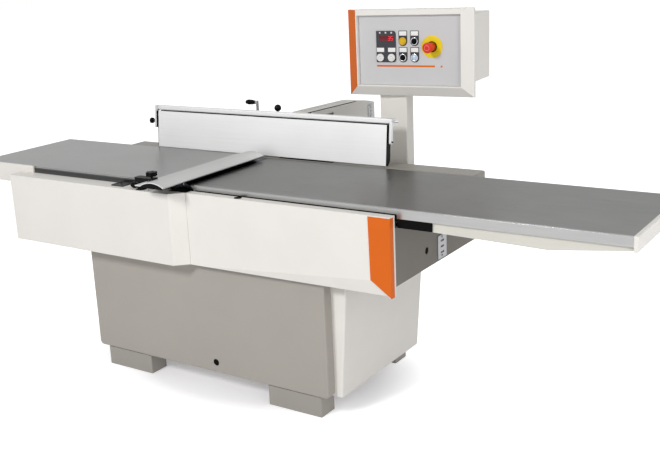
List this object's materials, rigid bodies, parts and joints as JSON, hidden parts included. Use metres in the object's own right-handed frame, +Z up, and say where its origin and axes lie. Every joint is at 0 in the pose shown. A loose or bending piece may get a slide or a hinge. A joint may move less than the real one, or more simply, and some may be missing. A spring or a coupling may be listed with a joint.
{
  "type": "surface planer",
  "caption": "Floor-standing woodworking surface planer with long tables, tilting fence, bridge guard, cutterblock, sheet-steel base and swivelling control panel.",
  "frame": {"origin": "centre of the overall box on the floor", "axes": "+X along the tables towards the infeed end, +Y away from the operator, +Z up"},
  "size_m": [2.913, 1.3984, 1.4485],
  "materials": {
    "foot_paint": "satin",
    "white_paint": "satin",
    "grey_paint": "satin",
    "frame_paint": "satin",
    "rail_paint": "satin",
    "orange_paint": "satin",
    "ground_iron": "ground",
    "black_rubber": "matte",
    "machined_steel": "machined",
    "knife_steel": "ground",
    "motor_paint": "satin",
    "galvanised": "galvanised",
    "beige_paint": "satin",
    "zinc_plate": "plated",
    "anodised_aluminium": "anodised",
    "black_plastic": "matte",
    "chrome_rod": "polished",
    "black_lever": "gloss",
    "black_paint": "satin",
    "guard_aluminium": "anodised",
    "post_paint": "satin",
    "membrane_grey": "satin",
    "display_black": "satin",
    "white_button": "gloss",
    "yellow_button": "gloss",
    "lamp_lens": "gloss",
    "red_button": "satin"
  },
  "bodies": {
    "frame": {"feet": "foot_paint", "base_cabinet": "white_paint", "front_panel": "grey_paint", "upper_frame": "frame_paint", "rear_rail": "rail_paint", "apron": "white_paint", "apron_strip": "orange_paint", "front_housing": "white_paint", "outfeed_table": "ground_iron", "outfeed_end_cover": "white_paint", "bearings": "machined_steel", "motor": "motor_paint", "drive_belt": "black_rubber", "chip_chute": "galvanised", "lift_bearings": "machined_steel", "lift_gearmotor": "motor_paint", "fence_guide": "frame_paint", "fence_guide_cover": "beige_paint", "hinge_plates": "zinc_plate", "guard_socket": "black_paint", "post": "post_paint"},
    "infeed": {"infeed_table": "ground_iron", "infeed_beam": "white_paint", "infeed_end_cap": "white_paint", "infeed_wiper": "black_rubber"},
    "lift_inner": {"lift_shaft_inner": "machined_steel"},
    "lift_outer": {"lift_shaft_outer": "machined_steel"},
    "lift_spindle": {"lift_screw": "machined_steel"},
    "cutter": {"cutterblock": "machined_steel", "knives": "knife_steel", "knife_wedges": "machined_steel", "cutter_pulley": "machined_steel"},
    "motor_rotor": {"motor_pulley": "machined_steel"},
    "fence_slide": {"fence_carriage": "frame_paint", "fence_bar": "machined_steel"},
    "fence": {"fence_plate": "anodised_aluminium", "fence_hinge_pins": "machined_steel", "fence_end_caps": "black_plastic"},
    "auxiliary": {"aux_fence": "anodised_aluminium"},
    "auxiliary_lock": {"aux_lock_knob": "black_plastic"},
    "crank": {"fence_crank": "chrome_rod", "crank_grip": "black_plastic"},
    "lever": {"tilt_lever": "black_lever"},
    "guard_holder": {"guard_carrier": "black_paint"},
    "guard": {"bridge_guard": "guard_aluminium", "guard_liner": "black_plastic"},
    "jaw_knob": {"guard_knob": "black_plastic"},
    "clamp_knob": {"guard_clamp_knob": "black_plastic"},
    "panel": {"control_box": "white_paint", "control_back": "white_paint", "panel_strip": "orange_paint", "membrane_plate": "membrane_grey", "display_module": "display_black"},
    "up": {"button_up": "white_button"},
    "down": {"button_down": "white_button"},
    "start": {"button_start": "yellow_button"},
    "stop": {"button_stop": "black_plastic"},
    "lamp": {"lamp_button": "lamp_lens"},
    "selector": {"mode_selector": "black_plastic"},
    "emergency": {"estop_head": "red_button"}
  },
  "joints": [
    {"name": "infeed_height", "type": "slide", "parent": "frame", "child": "infeed", "axis": [0, 0, 1], "range_m": [-0.003, 0.005]},
    {"name": "lift_shaft_inner_turn", "type": "hinge", "parent": "frame", "child": "lift_inner", "pos_m": [0.0535, -0.28175, 0.69], "axis": [0, -1, 0], "range_deg": [-1.6, 2.6]},
    {"name": "lift_shaft_outer_turn", "type": "hinge", "parent": "frame", "child": "lift_outer", "pos_m": [0.4535, -0.28175, 0.69], "axis": [0, -1, 0], "range_deg": [-1.6, 2.6]},
    {"name": "lift_screw_turn", "type": "hinge", "parent": "frame", "child": "lift_spindle", "pos_m": [0.3135, -0.28175, 0.7], "axis": [0, 0, 1], "range_deg": [-275, 455]},
    {"name": "cutter_spin", "type": "hinge", "parent": "frame", "child": "cutter", "pos_m": [-0.2765, -0.28175, 0.789], "axis": [0, 1, 0], "continuous": true},
    {"name": "motor_spin", "type": "hinge", "parent": "frame", "child": "motor_rotor", "pos_m": [0.0335, -0.08175, 0.215], "axis": [0, 1, 0], "continuous": true},
    {"name": "fence_position", "type": "slide", "parent": "frame", "child": "fence_slide", "axis": [0, -1, 0], "range_m": [0, 0.51]},
    {"name": "fence_tilt", "type": "hinge", "parent": "fence_slide", "child": "fence", "pos_m": [-0.2765, 0.00365, 0.86467], "axis": [-1, 0, 0], "range_deg": [-6, 39]},
    {"name": "aux_flip", "type": "hinge", "parent": "fence", "child": "auxiliary", "pos_m": [-0.2765, 0.00471, 0.94651], "axis": [1, 0, 0], "range_deg": [0, 180]},
    {"name": "aux_lock_turn", "type": "hinge", "parent": "auxiliary", "child": "auxiliary_lock", "pos_m": [-0.9065, 0.0068, 0.9664], "axis": [-1, 0, 0], "range_deg": [0, 180]},
    {"name": "crank_turn", "type": "hinge", "parent": "frame", "child": "crank", "pos_m": [-0.4365, 0.17825, 0.9], "axis": [0, 0, -1], "range_deg": [0, 90]},
    {"name": "tilt_lever_swing", "type": "hinge", "parent": "frame", "child": "lever", "pos_m": [-0.3245, 0.17825, 0.857], "axis": [0, 1, 0], "range_deg": [-25, 15]},
    {"name": "guard_height", "type": "slide", "parent": "frame", "child": "guard_holder", "axis": [0, 0, 1], "range_m": [0, 0.06]},
    {"name": "guard_position", "type": "slide", "parent": "guard_holder", "child": "guard", "axis": [0, -1, 0], "range_m": [0, 0.51]},
    {"name": "jaw_knob_turn", "type": "hinge", "parent": "guard_holder", "child": "jaw_knob", "pos_m": [-0.3765, -0.59825, 0.88], "axis": [0, 0, 1], "range_deg": [0, 120]},
    {"name": "clamp_knob_turn", "type": "hinge", "parent": "frame", "child": "clamp_knob", "pos_m": [-0.4665, -0.59825, 0.835], "axis": [-1, 0, 0], "range_deg": [0, 180]},
    {"name": "panel_swivel", "type": "hinge", "parent": "frame", "child": "panel", "pos_m": [0.2705, 0.18225, 1.14], "axis": [0, 0, 1], "range_deg": [-40, 40]},
    {"name": "button_up_press", "type": "slide", "parent": "panel", "child": "up", "axis": [-0.0872, 0.9962, 0], "range_m": [0, 0.004], "stiffness_N_per_m": 1200, "springref_m": -0.002},
    {"name": "button_down_press", "type": "slide", "parent": "panel", "child": "down", "axis": [-0.0872, 0.9962, 0], "range_m": [0, 0.004], "stiffness_N_per_m": 1200, "springref_m": -0.002},
    {"name": "button_start_press", "type": "slide", "parent": "panel", "child": "start", "axis": [-0.0872, 0.9962, 0], "range_m": [0, 0.004], "stiffness_N_per_m": 1200, "springref_m": -0.002},
    {"name": "button_stop_press", "type": "slide", "parent": "panel", "child": "stop", "axis": [-0.0872, 0.9962, 0], "range_m": [0, 0.004], "stiffness_N_per_m": 1200, "springref_m": -0.002},
    {"name": "lamp_button_press", "type": "slide", "parent": "panel", "child": "lamp", "axis": [-0.0872, 0.9962, 0], "range_m": [0, 0.004], "stiffness_N_per_m": 1200, "springref_m": -0.002},
    {"name": "mode_selector_turn", "type": "hinge", "parent": "panel", "child": "selector", "pos_m": [0.38814, 0.12018, 1.3255], "axis": [0.0872, -0.9962, 0], "range_deg": [0, 60]},
    {"name": "emergency_press", "type": "slide", "parent": "panel", "child": "emergency", "axis": [-0.0872, 0.9962, 0], "range_m": [0, 0.005], "stiffness_N_per_m": 2500, "springref_m": -0.003}
  ],
  "couplings": [
    {"joint": "lift_shaft_inner_turn", "follows": "infeed_height", "rad_per_m": 8.3333},
    {"joint": "lift_shaft_outer_turn", "follows": "infeed_height", "rad_per_m": 8.3333},
    {"joint": "lift_screw_turn", "follows": "infeed_height", "rad_per_m": 1570.8},
    {"joint": "motor_spin", "follows": "cutter_spin", "ratio": 0.56},
    {"joint": "guard_position", "follows": "fence_position", "ratio": 1}
  ]
}
